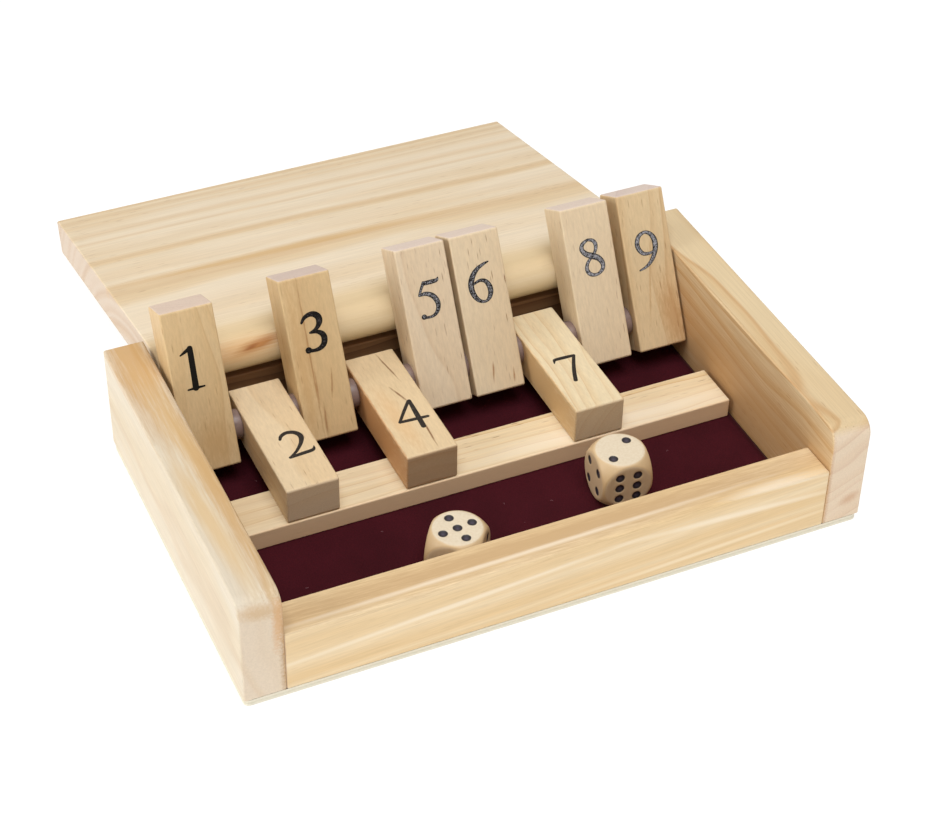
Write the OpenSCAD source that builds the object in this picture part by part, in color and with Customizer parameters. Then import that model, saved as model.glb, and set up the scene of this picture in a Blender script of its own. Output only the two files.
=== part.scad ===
// Shut the box: a small pine box with a felted dice tray, nine number tiles that flip down
// on one rod, a lid that turns on two pins, and two dice.
// The origin is the centre of the box's underside: +X right, +Y back, +Z up, in millimetres.

/* [Box] */
// Width over the side walls
box_w = 168; // [150:1:200]
// Depth from the front face to the back face
box_d = 103.5; // [98:0.5:115]
// Thickness of the base panel
base_t = 2; // [1.5:0.1:4]
// Setback of the base panel from the outer faces of the box
base_inset = 0.2; // [0:0.1:1]
// Corner radius of the base panel
base_r = 1.5; // [0.5:0.5:5]
// Thickness of the side walls
wall_t = 10.8; // [9:0.1:14]
// Radius of the front top corner of each side wall
wall_r = 4.5; // [1:0.5:6]
// Thickness of the front rail
front_t = 10.8; // [8:0.1:13]
// Height of the front rail above the base panel
front_h = 17.8; // [16:0.1:22]
// Thickness of the back rail
back_t = 6.3; // [4:0.1:8]

/* [Tray] */
// Clear depth of the dice tray, from the front rail to the rest rail
tray_d = 36.3; // [32:0.1:40]
// Thickness of the felt
felt_t = 0.8; // [0.5:0.1:2]
// Bare strip of base panel round the felt
felt_edge = 0.7; // [0.3:0.1:2]
// Width of the rest rail, front to back
rest_w = 14.3; // [8:0.1:16]
// Height of the rest rail above the felt
rest_h = 5.75; // [3:0.05:8]
// Gap between the rest rail's right end and the right wall
rest_end = 1.3; // [0.2:0.1:3]

/* [Tiles] */
// Thickness of a tile
tile_t = 10.6; // [9:0.1:12]
// Distance from the rod's centre to a tile's back face
tile_back = 4.5; // [4:0.1:5.5]
// Distance from the rod's centre to a tile's lower end
tile_tail = 8.7; // [6:0.1:10]
// Radius of a tile's eased corners, seen from the side
tile_r = 0.7; // [0.2:0.1:1.5]
// Gap between each end tile's middle place and the wall beside it
tile_end = 1.3; // [1:0.1:3]
// Sideways play between a tile and its spacers
tile_play = 0.85; // [0.5:0.05:1.2]
// Distance from the rod's centre to the back face of the box
rod_back = 20.9; // [20:0.1:24]
// Diameter of the rod
rod_d = 4; // [3:0.1:5]
// Depth of the blind holes that hold the rod
rod_seat = 6; // [4:0.5:8]
// Thickness of a spacer
spacer_t = 1.2; // [0.8:0.1:2]
// Diameter of a spacer
spacer_d = 9.4; // [7:0.1:9.6]

/* [Lid] */
// Thickness of the lid, and diameter of its round rear edge
lid_t = 10.5; // [9:0.1:12]
// How far the side walls stand above the closed lid
lid_recess = 2; // [0:0.1:4]
// Gap between each end of the lid and the wall beside it
lid_end = 1.4; // [0.5:0.1:2]
// Radius of the eased corners of the lid's free edge
lid_r = 0.8; // [0.2:0.1:2]
// Distance from the lid's pins to the back face of the box
pin_back = 4.2; // [3.5:0.1:5]
// Diameter of a lid pin
pin_d = 3; // [2:0.1:3.5]
// Depth of a lid pin in the lid
pin_in_lid = 13; // [8:0.5:20]
// Depth of a lid pin in the wall
pin_in_wall = 5.5; // [3:0.5:8]

/* [Dice] */
// Size of a die across its flats
die = 14; // [12:0.1:15]
// Diameter of the ball that rounds a die's corners
die_ball = 19; // [17:0.1:20]
// Diameter of a pip
pip_d = 2.55; // [1.5:0.05:2.8]
// Depth of a pip
pip_depth = 0.35; // [0.1:0.05:0.5]
// Distance from a face's middle to its outer rows of pips, on the faces from 2 to 5
pip_row = 2.95; // [2.7:0.05:3.2]
// Distance from the middle of the 6 to its two columns of pips
six_column = 2.4; // [2.2:0.05:3]
// Distance from the middle of the 6 to its outer rows of pips
six_row = 3.4; // [3:0.05:3.6]
// Distance of the left die from the left wall
die_left_x = 53; // [20:1:60]
// Gap between the left die and the front rail
die_left_gap = 0.7; // [0.3:0.1:3]
// Turn of the left die
die_left_turn = -128; // [-180:1:180]
// Distance of the right die from the right wall
die_right_x = 43; // [20:1:60]
// Gap between the right die and the rest rail
die_right_gap = 5.8; // [2:0.1:10]
// Turn of the right die
die_right_turn = -5.5; // [-180:0.5:180]

/* [Clearances] */
// Radial gap where a piece turns on a rod or pin
turn_gap = 0.05; // [0.02:0.01:0.1]
// Radial gap round a glued rod or pin, and beyond its end
glue_gap = 0.02; // [0.01:0.01:0.1]
// Gap under a tile that is flipped down
tile_seat = 0.1; // [0.05:0.05:0.5]
// Gap between a leaning tile and the lid's round edge
lean_gap = 0.1; // [0.05:0.05:0.5]
// Gap between the closed lid and the front rail
lid_seat = 0.3; // [0.1:0.1:1]
// Gap between the open lid and the back rail
lid_over = 0.7; // [0.3:0.1:2]
// Height of the open lid's free edge above the table
lid_foot = 0.1; // [0:0.05:0.5]

/* [Hidden] */
$fn = 64;
TILES = 9;
// Where each tile stands in its play, as a share of the play
tile_shift = [-0.2, 0.7, -0.1, 0.8, 0.5, -0.2, -0.2, 0, 0.9];
// 1 for a tile that is flipped down, 0 for one that stands
tile_down = [0, 1, 0, 1, 0, 0, 1, 0, 0];
// Degrees by which a standing tile stops short of the lid, held by its snug fit
tile_short = [6, 0, 2, 0, 0, 0, 0, 0, 0];
// How far past a surface a cutting shape runs
over = 1;

inner_w = box_w - 2 * wall_t;
front_y = -box_d / 2;
back_y = box_d / 2;
rest_y = front_y + front_t + tray_d;
felt_top = base_t + felt_t;
rest_top = felt_top + rest_h;
felt_d = box_d - front_t - back_t;

tile_gap = spacer_t + tile_play;
tile_w = (inner_w - 2 * tile_end - (TILES - 1) * tile_gap) / TILES;
rod_y = back_y - rod_back;
rod_z = rest_top + tile_seat + tile_t - tile_back;
tile_reach = rod_y - rest_y - 2 * tile_seat;

front_top = base_t + front_h;
pin_y = back_y - pin_back;
pin_z = front_top + lid_seat + lid_t / 2;
wall_top = pin_z + lid_t / 2 + lid_recess;
lid_w = inner_w - 2 * lid_end;
lid_l = pin_y - front_y;
// The open lid slopes down until its free edge's lower corner meets the table
lid_slope = asin((pin_z - lid_foot) / norm([lid_l, lid_t / 2])) - atan2(lid_t / 2, lid_l);
// The back rail stays under the lower face of the open lid
back_top = pin_z - lid_t / 2 / cos(lid_slope) - pin_back * tan(lid_slope) - lid_over;
// A standing tile leans back until its back face meets the lid's round rear edge
rod_to_pin = [pin_y - rod_y, pin_z - rod_z];
lean = acos((tile_back + lean_gap + lid_t / 2) / norm(rod_to_pin)) - atan2(rod_to_pin.y, rod_to_pin.x);

function tile_x(i) = -inner_w / 2 + tile_end + i * (tile_w + tile_gap) + tile_shift[i] * tile_play;
function tile_turn(i) = tile_down[i] == 1 ? 90 : tile_short[i] - lean;
// Places of the pips of one face; the pips of 2, 3 and 6 lie along y
function pips(n) =
    n == 6 ? [for (x = [-1, 1], y = [-1 : 1]) [x * six_column, y * six_row]]
    : concat(
        n % 2 == 1 ? [[0, 0]] : [],
        n > 1 ? [[pip_row, pip_row], [-pip_row, -pip_row]] : [],
        n > 3 ? [[pip_row, -pip_row], [-pip_row, pip_row]] : []);
// The turn that brings +Z to each face of a die: top, bottom, front, back, left, right
FACE_TURNS = [[0, 0, 0], [180, 0, 0], [90, 0, 0], [-90, 0, 0], [0, -90, 0], [0, 90, 0]];

// A side view, with y across and z up, drawn out along +X
module side_view(length) {
    rotate([90, 0, 90])
        linear_extrude(length)
            children();
}

// A flat rectangle from the origin, with all four corners rounded
module rounded(w, h, r) {
    translate([r, 0])
        square([w - 2 * r, h]);
    translate([0, r])
        square([w, h - 2 * r]);
    for (x = [r, w - r], y = [r, h - r])
        translate([x, y])
            circle(r);
}

// A round bar along X, from x = from to x = to
module bar(d, from, to) {
    translate([from, 0, 0])
        rotate([0, 90, 0])
            cylinder(d = d, h = to - from);
}

module base_panel() {
    color("#D9CFAE")
        translate([-box_w / 2 + base_inset, front_y + base_inset, 0])
            linear_extrude(base_t)
                rounded(box_w - 2 * base_inset, box_d - 2 * base_inset, base_r);
}

// The felt covers the whole floor and runs on under the rest rail
module felt_sheet() {
    color("#451C25")
        translate([-inner_w / 2 + felt_edge, front_y + front_t + felt_edge, base_t])
            cube([inner_w - 2 * felt_edge, felt_d - 2 * felt_edge, felt_t]);
}

// A side wall, from its inner face at x = 0 outwards along +X, with blind holes for the rod and a pin
module wall() {
    difference() {
        union() {
            translate([0, front_y + wall_r, base_t])
                cube([wall_t, box_d - wall_r, wall_top - base_t]);
            translate([0, front_y, base_t])
                cube([wall_t, 2 * wall_r, wall_top - base_t - wall_r]);
            translate([0, front_y + wall_r, wall_top - wall_r])
                bar(2 * wall_r, 0, wall_t);
        }
        translate([0, rod_y, rod_z])
            bar(rod_d + 2 * glue_gap, -over, rod_seat);
        translate([0, pin_y, pin_z])
            bar(pin_d + 2 * turn_gap, -over, pin_in_wall);
    }
}

module left_wall() {
    color("#E3D3B0")
        translate([-inner_w / 2, 0, 0])
            mirror([1, 0, 0])
                wall();
}

module right_wall() {
    color("#E3D3B0")
        translate([inner_w / 2, 0, 0])
            wall();
}

module front_rail() {
    color("#E3D3B0")
        translate([-inner_w / 2, front_y, base_t])
            cube([inner_w, front_t, front_h]);
}

module back_rail() {
    color("#B08C5A")
        translate([-inner_w / 2, back_y - back_t, base_t])
            cube([inner_w, back_t, back_top - base_t]);
}

module rest_rail() {
    color("#D8BC8E")
        translate([-inner_w / 2, rest_y, felt_top])
            cube([inner_w - rest_end, rest_w, rest_h]);
}

module tile_rod() {
    half = inner_w / 2 + rod_seat - glue_gap;
    color("#D8C8B8")
        translate([0, rod_y, rod_z])
            bar(rod_d, -half, half);
}

// One spacer in the middle of each space between two tiles
module tile_spacers() {
    color("#B9AFAE")
        for (i = [0 : TILES - 2])
            translate([(tile_x(i) + tile_w + tile_x(i + 1)) / 2, rod_y, rod_z])
                difference() {
                    bar(spacer_d, -spacer_t / 2, spacer_t / 2);
                    bar(rod_d + 2 * turn_gap, -over, over);
                }
}

// Tile number n, drawn round its rod and then leant back or flipped down
module tile(n) {
    i = n - 1;
    color("#D8BC8E")
        translate([tile_x(i), rod_y, rod_z])
            rotate([tile_turn(i), 0, 0])
                difference() {
                    translate([0, tile_back - tile_t, -tile_tail])
                        side_view(tile_w)
                            rounded(tile_t, tile_tail + tile_reach, tile_r);
                    bar(rod_d + 2 * turn_gap, -over, tile_w + over);
                }
}

// Puts its children, drawn round the lid's pin axis, on the axis at the slope of the open lid
module on_lid_axis() {
    translate([0, pin_y, pin_z])
        rotate([-lid_slope, 0, 0])
            children();
}

// The lid, with a half-round rear edge centred on its pins
module lid() {
    color("#E3D3B0")
        on_lid_axis()
            difference() {
                translate([-lid_w / 2, 0, 0])
                    side_view(lid_w) {
                        circle(d = lid_t);
                        translate([0, -lid_t / 2])
                            square([lid_l - 2 * lid_r, lid_t]);
                        translate([lid_l / 2, -lid_t / 2])
                            rounded(lid_l / 2, lid_t, lid_r);
                    }
                bar(pin_d + 2 * glue_gap, -lid_w / 2 - over, -lid_w / 2 + pin_in_lid);
                bar(pin_d + 2 * glue_gap, lid_w / 2 - pin_in_lid, lid_w / 2 + over);
            }
}

// A lid pin on the +X side, fixed in the lid and turning in the wall
module lid_pin() {
    bar(pin_d, lid_w / 2 - pin_in_lid + glue_gap, inner_w / 2 + pin_in_wall - glue_gap);
}

module lid_pin_left() {
    color("#8C8A86")
        on_lid_axis()
            mirror([1, 0, 0])
                lid_pin();
}

module lid_pin_right() {
    color("#8C8A86")
        on_lid_axis()
            lid_pin();
}

// A die on the felt at [x, y], with the values of its top, bottom, front, back, left and right faces
module one_die(x, y, turn, values) {
    pip_ball = (pip_d * pip_d / 4 + pip_depth * pip_depth) / (2 * pip_depth);
    color("#E9DCC2")
        translate([x, y, felt_top + die / 2])
            rotate([0, 0, turn])
                difference() {
                    intersection() {
                        cube(die, center = true);
                        sphere(d = die_ball);
                    }
                    for (f = [0 : 5], at = pips(values[f]))
                        rotate(FACE_TURNS[f])
                            translate([at.x, at.y, die / 2 - pip_depth + pip_ball])
                                sphere(pip_ball);
                }
}

module die_left() {
    one_die(-inner_w / 2 + die_left_x, front_y + front_t + die_ball / 2 + die_left_gap,
        die_left_turn, [5, 2, 4, 3, 6, 1]);
}

module die_right() {
    one_die(inner_w / 2 - die_right_x, rest_y - die_ball / 2 - die_right_gap,
        die_right_turn, [2, 5, 6, 1, 4, 3]);
}

base_panel();
felt_sheet();
left_wall();
right_wall();
front_rail();
back_rail();
rest_rail();
tile_rod();
tile_spacers();
tile(1);  // tile_1
tile(2);  // tile_2
tile(3);  // tile_3
tile(4);  // tile_4
tile(5);  // tile_5
tile(6);  // tile_6
tile(7);  // tile_7
tile(8);  // tile_8
tile(9);  // tile_9
lid();
lid_pin_left();
lid_pin_right();
die_left();
die_right();
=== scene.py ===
from math import cos, radians, sin, sqrt

import bmesh
import bpy
from mathutils import Matrix, Vector


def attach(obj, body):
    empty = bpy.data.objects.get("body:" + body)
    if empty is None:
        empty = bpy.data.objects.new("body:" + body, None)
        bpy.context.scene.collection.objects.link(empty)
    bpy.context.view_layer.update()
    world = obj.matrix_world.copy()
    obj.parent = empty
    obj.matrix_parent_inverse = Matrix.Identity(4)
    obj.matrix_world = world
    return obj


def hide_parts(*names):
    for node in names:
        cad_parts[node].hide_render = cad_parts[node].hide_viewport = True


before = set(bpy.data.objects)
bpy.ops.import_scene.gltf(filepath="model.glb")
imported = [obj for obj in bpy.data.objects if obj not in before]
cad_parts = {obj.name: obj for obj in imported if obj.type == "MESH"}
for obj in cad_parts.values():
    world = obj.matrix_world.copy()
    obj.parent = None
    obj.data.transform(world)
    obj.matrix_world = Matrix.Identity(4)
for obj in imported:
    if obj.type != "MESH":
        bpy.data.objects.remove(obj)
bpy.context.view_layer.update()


# ---------------------------------------------------------------- the view
# A shut the box game on a white table, seen from above its front left corner.
# The camera stands about 60 cm away with a short telephoto lens.
mm = 0.001  # one millimetre, in Blender's metres
eye = Vector((-187.0, -397.6, 384.2)) * mm
target = Vector((1.83, 10.9, 16.8)) * mm
lens, sensor = 84.8, 36  # mm
roll = 0.0181  # radians


def placed(name, data):
    """A new object in the scene."""
    thing = bpy.data.objects.new(name, data)
    bpy.context.collection.objects.link(thing)
    return thing


ahead = (target - eye).normalized()
across = ahead.cross(Vector((0, 0, 1))).normalized()
upward = across.cross(ahead)
right = across * cos(roll) + upward * sin(roll)
up = upward * cos(roll) - across * sin(roll)
camera = placed("camera", bpy.data.cameras.new("camera"))
camera.data.lens = lens
camera.data.sensor_width = sensor
camera.data.clip_start = 20 * mm
camera.matrix_world = Matrix.Translation(eye) @ Matrix((right, up, -ahead)).transposed().to_4x4()
bpy.context.scene.camera = camera
bpy.context.scene.view_settings.view_transform = "Standard"


# ---------------------------------------------------------------- the table and the light
# A white table under one large soft lamp overhead and a softer one on the left.
# The table glows: painted light that stands in for the light it throws back at the box's outer faces.
table_white = "#F4F4F2"
table_half = 4000  # mm
table_gap = 0.05  # mm, from the table up to the box, so that their faces stay apart
room_level, room_tint = 0.36, (1.0, 0.84, 0.66, 1)  # warm walls round the table
table_glow = 0.45  # painted light: the table glows this strongly, in place of the light that it throws back
backdrop_level, backdrop_share = 1.12, 0.80  # what the camera sees, and how much of it is plain light
lamp_white = (1, 1, 1, 1)
lamps = [
    # name, place in mm, size in mm, watts, colour
    ("lamp_overhead", (-80, -250, 1050), 800, 8.6, (0.98, 1.0, 1.03)),
    ("lamp_left", (-950, 100, 420), 700, 4.2, (1.0, 0.98, 0.94)),
]


def colour(hex_value):
    """An sRGB hex value as the linear colour that a node takes."""
    parts = [int(hex_value[i:i + 2], 16) / 255 for i in (1, 3, 5)]
    return [c / 12.92 if c <= 0.04045 else ((c + 0.055) / 1.055) ** 2.4 for c in parts] + [1]


def add(tree, kind, sockets=None, **settings):
    """Adds a node with its settings, and fills its sockets, by name or number, with a value, an sRGB hex
    value, or a link from another node's socket or from the first output that a node has in use."""
    node = tree.nodes.new(kind)
    for name, value in settings.items():
        setattr(node, name, value)
    for name, value in (sockets or {}).items():
        if isinstance(value, bpy.types.Node):
            value = next(output for output in value.outputs if output.enabled)
        if isinstance(value, bpy.types.NodeSocket):
            tree.links.new(value, node.inputs[name])
        else:
            node.inputs[name].default_value = colour(value) if isinstance(value, str) else value
    return node


def finish_tree(name):
    """A new material with an empty node tree."""
    material = bpy.data.materials.new(name)
    material.use_nodes = True
    material.node_tree.nodes.clear()
    return material, material.node_tree


# Painted table top: the camera sees it as near white, with a trace of the box's shadow
table_paint, tree = finish_tree("table_paint")
seen = add(tree, "ShaderNodeLightPath")
paint = add(tree, "ShaderNodeBsdfDiffuse", {"Color": table_white})
glow = add(tree, "ShaderNodeEmission", {"Color": lamp_white, "Strength": table_glow})
lit = add(tree, "ShaderNodeAddShader", {0: paint, 1: glow})
backdrop = add(tree, "ShaderNodeEmission", {"Color": lamp_white, "Strength": backdrop_level})
looks = add(tree, "ShaderNodeMixShader", {0: backdrop_share, 1: paint, 2: backdrop})
bare = add(tree, "ShaderNodeMath", {0: seen.outputs["Is Camera Ray"], 1: seen.outputs["Is Glossy Ray"]},
           operation="MAXIMUM")
either = add(tree, "ShaderNodeMixShader", {0: bare, 1: lit, 2: looks})
add(tree, "ShaderNodeOutputMaterial", {"Surface": either})

table_mesh = bpy.data.meshes.new("table")
table_mesh.from_pydata([(x * table_half * mm, y * table_half * mm, -table_gap * mm)
                        for x, y in ((-1, -1), (1, -1), (1, 1), (-1, 1))], [], [(0, 1, 2, 3)])
table_mesh.materials.append(table_paint)
table = placed("table", table_mesh)

world = bpy.data.worlds.new("room")
world.use_nodes = True
tree = world.node_tree
tree.nodes.clear()
seen = add(tree, "ShaderNodeLightPath")
room = add(tree, "ShaderNodeBackground", {"Color": room_tint, "Strength": room_level})
white = add(tree, "ShaderNodeBackground", {"Color": lamp_white, "Strength": 1.0})
either = add(tree, "ShaderNodeMixShader", {0: seen.outputs["Is Camera Ray"], 1: room, 2: white})
add(tree, "ShaderNodeOutputWorld", {"Surface": either})
bpy.context.scene.world = world

for name, place, size, watts, tint in lamps:
    lamp = placed(name, bpy.data.lights.new(name, "AREA"))
    lamp.data.shape = "DISK"
    lamp.data.size = size * mm
    lamp.data.energy = watts
    lamp.data.color = tint
    lamp.location = Vector(place) * mm
    lamp.rotation_euler = (-lamp.location).to_track_quat("-Z", "Y").to_euler()


# ---------------------------------------------------------------- the base panel
# A sheet of three-ply poplar, 2 mm thick, glued under the walls and rails.
# Only its edge shows: two pale plies with a greyer core, sawn and lightly sanded.
ply = 0.67  # mm, thickness of one ply
ply_face, ply_core = "#E5E2D4", "#CBC8B4"
# the felt's dye has bled with the glue over the top face, which starts this many mm up
bled_dye, bled_from = "#4A2422", 1.95
panel_ease = 0.2  # mm
weld = 0.002  # mm, between points that are one and the same
flat_within, arris_from = 0.5, 25  # degrees between faces: still one flat, and an edge that sandpaper takes


def object_in_mm(tree):
    """Where a point lies on the object, in mm."""
    where = add(tree, "ShaderNodeTexCoord")
    return add(tree, "ShaderNodeVectorMath", {0: where.outputs["Object"], 1: (1000, 1000, 1000)},
               operation="MULTIPLY")


plywood, tree = finish_tree("poplar_plywood")
in_mm = object_in_mm(tree)
height = add(tree, "ShaderNodeSeparateXYZ", {0: in_mm})
layer = add(tree, "ShaderNodeMath", {0: height.outputs["Z"], 1: ply}, operation="DIVIDE")
in_core = add(tree, "ShaderNodeMath", {0: layer, 1: 1.5, 2: 0.5}, operation="COMPARE")
fuzz = add(tree, "ShaderNodeTexNoise", {"Vector": in_mm, "Scale": 1.6, "Detail": 4})
sawn = add(tree, "ShaderNodeMath", {0: in_core, 1: fuzz}, operation="MULTIPLY")
tone = add(tree, "ShaderNodeMix", {0: sawn, 6: ply_face, 7: ply_core}, data_type="RGBA")
on_top = add(tree, "ShaderNodeMath", {0: height.outputs["Z"], 1: bled_from}, operation="GREATER_THAN")
tone = add(tree, "ShaderNodeMix", {0: on_top, 6: tone, 7: bled_dye}, data_type="RGBA")
rough = add(tree, "ShaderNodeBump", {"Height": fuzz, "Strength": 0.3, "Distance": 0.1 * mm})
skin = add(tree, "ShaderNodeBsdfPrincipled",
           {"Base Color": tone, "Roughness": 0.75, "IOR": 1.5, "Normal": rough})
add(tree, "ShaderNodeOutputMaterial", {"Surface": skin})


def shaped(shape, mesh):
    """Ends an edit: its faces turned outwards and written to the mesh."""
    bmesh.ops.recalc_face_normals(shape, faces=shape.faces)
    shape.to_mesh(mesh)
    shape.free()


def sanded(node, ease, body, material, holes=()):
    """A copy of a CAD node with its sharp edges sanded round, which stands for the node.
    Edges round the holes given as (y, z, radius), in mm, stay sharp."""
    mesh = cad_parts[node].data.copy()
    shape = bmesh.new()
    shape.from_mesh(mesh)
    bmesh.ops.remove_doubles(shape, verts=shape.verts, dist=weld * mm)
    bmesh.ops.dissolve_limit(shape, angle_limit=radians(flat_within), verts=shape.verts, edges=shape.edges)
    sharp = []
    for edge in shape.edges:
        if not edge.is_manifold or edge.calc_face_angle() < radians(arris_from):
            continue
        middle = (edge.verts[0].co + edge.verts[1].co) / 2 / mm
        if all(sqrt((middle.y - y) ** 2 + (middle.z - z) ** 2) > r for y, z, r in holes):
            sharp.append(edge)
    for face in shape.faces:
        face.smooth = False
    made = bmesh.ops.bevel(shape, geom=sharp, offset=ease * mm, segments=3, profile=0.5,
                           affect="EDGES", clamp_overlap=True)
    for face in made["faces"]:
        face.smooth = True
    for face in shape.faces:
        face.material_index = 0
    shaped(shape, mesh)
    mesh.materials.clear()
    mesh.materials.append(material)
    piece = placed(node + "_sanded", mesh)
    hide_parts(node)
    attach(piece, body)


sanded("base_panel", panel_ease, "box", plywood)


# ---------------------------------------------------------------- walls and rails
# Pine boards with hardly a knot, planed, cut to length and glued with butt joints.
# Unfinished pine is cream with tan growth bands, and its end grain is pinker and duller.
edge_break = 0.45  # mm, sandpaper taken once along each arris
rod_line = (30.85, 14.75)  # y and z of the tile rod, in mm
pin_line = (47.55, 25.35)  # y and z of the lid's pins, in mm
rod_hole, pin_hole = (*rod_line, 2.6), (*pin_line, 2.1)  # with a radius that takes in the hole's rim
along_x, along_y = (0, 0, 0), (0, 0, radians(-90))
board_step = 137.0  # mm of the trunk from one board to the next
canal_brown = "#8A5C36"


def pine(name, turn, heart, ring, pale, tan, late, end, flecks=0.5, contrast=1.0, peak=0.93, sway=7.0,
         fine=(0.05, 2.4), marks=(), seed=0):
    """Pine, as one board of it. turn brings the grain onto X, heart is where the tree's middle lies across
    the board and ring is a year's growth, in mm. peak is where in the year the wood is darkest, sway is how
    far the grain wanders in mm, and marks are stains: place and half sizes in mm, turn, colour, strength."""
    material, tree = finish_tree(name)
    where = add(tree, "ShaderNodeTexCoord")
    grain = add(tree, "ShaderNodeMapping", {
        "Vector": where.outputs["Object"], "Location": (board_step * seed, -heart[0], -heart[1]),
        "Rotation": turn, "Scale": (1000, 1000, 1000)})
    # the trunk's slow wander over a hand's length
    slow = add(tree, "ShaderNodeMapping", {"Vector": grain, "Scale": (0.011, 0.030, 0.030)})
    wander = add(tree, "ShaderNodeTexNoise", {"Vector": slow, "Scale": 1.0, "Detail": 2.0})
    shift = add(tree, "ShaderNodeVectorMath", {
        0: wander.outputs["Color"], 1: (0, 2 * sway, 2 * sway), 2: (0, -sway, -sway)}, operation="MULTIPLY_ADD")
    bent = add(tree, "ShaderNodeVectorMath", {0: grain, 1: shift}, operation="ADD")
    flat = add(tree, "ShaderNodeVectorMath", {0: bent, 1: (0, 1, 1)}, operation="MULTIPLY")
    out = add(tree, "ShaderNodeVectorMath", {0: flat}, operation="LENGTH")
    years = add(tree, "ShaderNodeMath", {0: out, 1: ring}, operation="DIVIDE")
    # years differ in width
    uneven = add(tree, "ShaderNodeTexNoise", {"W": years, "Scale": 0.55}, noise_dimensions="1D")
    age = add(tree, "ShaderNodeMath", {0: uneven, 1: 1.6, 2: years}, operation="MULTIPLY_ADD")
    season = add(tree, "ShaderNodeMath", {0: age}, operation="FRACT")
    year = add(tree, "ShaderNodeMath", {0: age}, operation="FLOOR")
    chance = add(tree, "ShaderNodeTexWhiteNoise", {"W": year}, noise_dimensions="1D")
    bands = add(tree, "ShaderNodeValToRGB", {"Fac": season})
    bands.color_ramp.interpolation = "EASE"
    stops = bands.color_ramp.elements
    stops[0].position, stops[0].color = 0.0, colour(pale)
    stops[1].position, stops[1].color = 1.0, colour(pale)
    for at, tone in ((0.32 * peak, pale), (0.84 * peak, tan), (peak, late)):
        stops.new(at).color = colour(tone)
    weight = add(tree, "ShaderNodeMapRange", {"Value": chance, "To Min": 0.25 * contrast,
                                              "To Max": 1.0 * contrast})
    wood = add(tree, "ShaderNodeMix", {0: weight, 6: pale, 7: bands}, data_type="RGBA")
    # broad patches of warmer wood, 60 mm long and 15 mm wide
    wide = add(tree, "ShaderNodeMapping", {"Vector": bent, "Scale": (0.012, 0.06, 0.06)})
    patch = add(tree, "ShaderNodeTexNoise", {"Vector": wide, "Scale": 1.0, "Detail": 3.0})
    patchy = add(tree, "ShaderNodeMapRange", {"Value": patch, "From Min": 0.42,
                                              "From Max": 0.68, "To Max": 0.55 * contrast})
    warm = add(tree, "ShaderNodeMix", {0: patchy, 6: wood, 7: tan}, data_type="RGBA")
    # fibres 0.35 mm wide, and 15 mm long unless sanding has cut them short
    thin = add(tree, "ShaderNodeMapping", {"Vector": grain, "Scale": (fine[0], fine[1], fine[1])})
    fibre = add(tree, "ShaderNodeTexNoise", {"Vector": thin, "Scale": 1.0, "Detail": 4.0, "Roughness": 0.65})
    shade = add(tree, "ShaderNodeMapRange", {"Value": fibre, "From Min": 0.3,
                                             "From Max": 0.7, "To Min": 0.90, "To Max": 1.04})
    fibred = add(tree, "ShaderNodeVectorMath", {0: warm, "Scale": shade}, operation="SCALE")
    # resin canals cut open: brown dashes 1 to 4 mm long and 0.25 mm wide
    sparse = add(tree, "ShaderNodeMapping", {"Vector": grain, "Scale": (0.13, 1.15, 1.15)})
    canals = add(tree, "ShaderNodeTexVoronoi", {"Vector": sparse, "Scale": 1.0})
    dashes = add(tree, "ShaderNodeMapRange", {"Value": canals, "From Min": 0.10,
                                              "From Max": 0.20, "To Min": 1.0, "To Max": 0.0})
    some = add(tree, "ShaderNodeMapRange", {"Value": patch, "From Min": 0.40,
                                            "From Max": 0.62, "To Max": flecks})
    dash = add(tree, "ShaderNodeMath", {0: dashes, 1: some}, operation="MULTIPLY")
    face = add(tree, "ShaderNodeMix", {0: dash, 6: fibred, 7: canal_brown}, data_type="RGBA")
    # end grain, where the surface looks along the grain: pinker, with the rings as faint arcs and open pores
    facing = add(tree, "ShaderNodeMapping", {"Vector": where.outputs["Normal"], "Rotation": turn},
                 vector_type="VECTOR")
    turned = add(tree, "ShaderNodeSeparateXYZ", {0: facing})
    endwise = add(tree, "ShaderNodeMath", {0: turned.outputs["X"]}, operation="ABSOLUTE")
    is_end = add(tree, "ShaderNodeMapRange", {"Value": endwise, "From Min": 0.60, "From Max": 0.90})
    pores = add(tree, "ShaderNodeTexNoise", {"Vector": grain, "Scale": 2.2, "Detail": 3.0})
    dots = add(tree, "ShaderNodeMapRange", {"Value": pores, "From Min": 0.35, "From Max": 0.65,
                                            "To Min": 0.96, "To Max": 1.03})
    cut = add(tree, "ShaderNodeMix", {0: 0.45, 6: end, 7: wood}, data_type="RGBA")
    dotted = add(tree, "ShaderNodeVectorMath", {0: cut, "Scale": dots}, operation="SCALE")
    tone = add(tree, "ShaderNodeMix", {0: is_end, 6: face, 7: dotted}, data_type="RGBA")
    for place, half_size, spin, stain, strength in marks:
        spot = add(tree, "ShaderNodeMapping", {
            "Vector": where.outputs["Object"], "Location": [v * mm for v in place], "Rotation": spin,
            "Scale": [v * mm for v in half_size]}, vector_type="TEXTURE")
        far = add(tree, "ShaderNodeVectorMath", {0: spot}, operation="LENGTH")
        frayed = add(tree, "ShaderNodeMath", {0: fibre, 1: 1.2, 2: far}, operation="MULTIPLY_ADD")
        stained = add(tree, "ShaderNodeMapRange", {"Value": frayed, "From Min": 0.9, "From Max": 1.7,
                                                   "To Min": strength, "To Max": 0.0})
        tone = add(tree, "ShaderNodeMix", {0: stained, 6: tone, 7: stain}, data_type="RGBA")
    dull = add(tree, "ShaderNodeMapRange", {"Value": is_end, "To Min": 0.55, "To Max": 0.80})
    raised = add(tree, "ShaderNodeMath", {0: fibre, 1: dash}, operation="SUBTRACT")
    grainy = add(tree, "ShaderNodeBump", {"Height": raised, "Strength": 0.25, "Distance": 0.12 * mm})
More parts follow.
